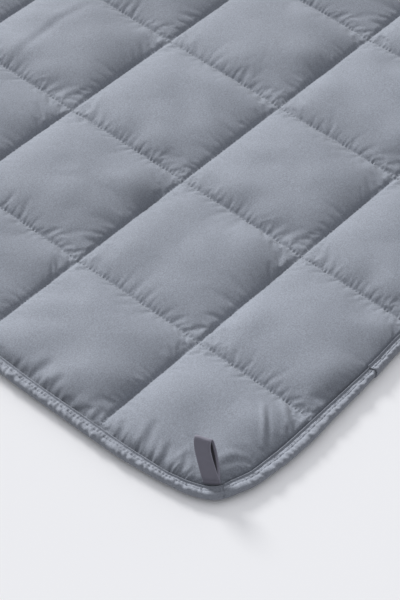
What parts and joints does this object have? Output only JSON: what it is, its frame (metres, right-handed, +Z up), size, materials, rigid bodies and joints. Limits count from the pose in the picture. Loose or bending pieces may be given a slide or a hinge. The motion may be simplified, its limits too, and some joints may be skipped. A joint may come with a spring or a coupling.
{
  "type": "weighted blanket",
  "caption": "Weighted blanket laid out flat, quilted into square filled pockets, with rounded corners, a folded edge binding and a small ribbon loop standing at each corner.",
  "frame": {"origin": "on the ground, under the middle of the blanket's outline", "axes": "+Z up, +Y along the blanket's length, +X across it; the binding's lap is in the side at -Y, near the corner at -X"},
  "size_m": [1.219, 1.833, 0.0397],
  "materials": {
    "quilt_cloth": "matt woven cotton, filled and quilted",
    "binding_cloth": "matt woven cotton tape",
    "ribbon": "smooth woven ribbon, slight sheen"
  },
  "bodies": {
    "root": {"quilt": "quilt_cloth", "binding": "binding_cloth", "loop_1": "ribbon", "loop_2": "ribbon", "loop_3": "ribbon", "loop_4": "ribbon"}
  },
  "joints": []
}
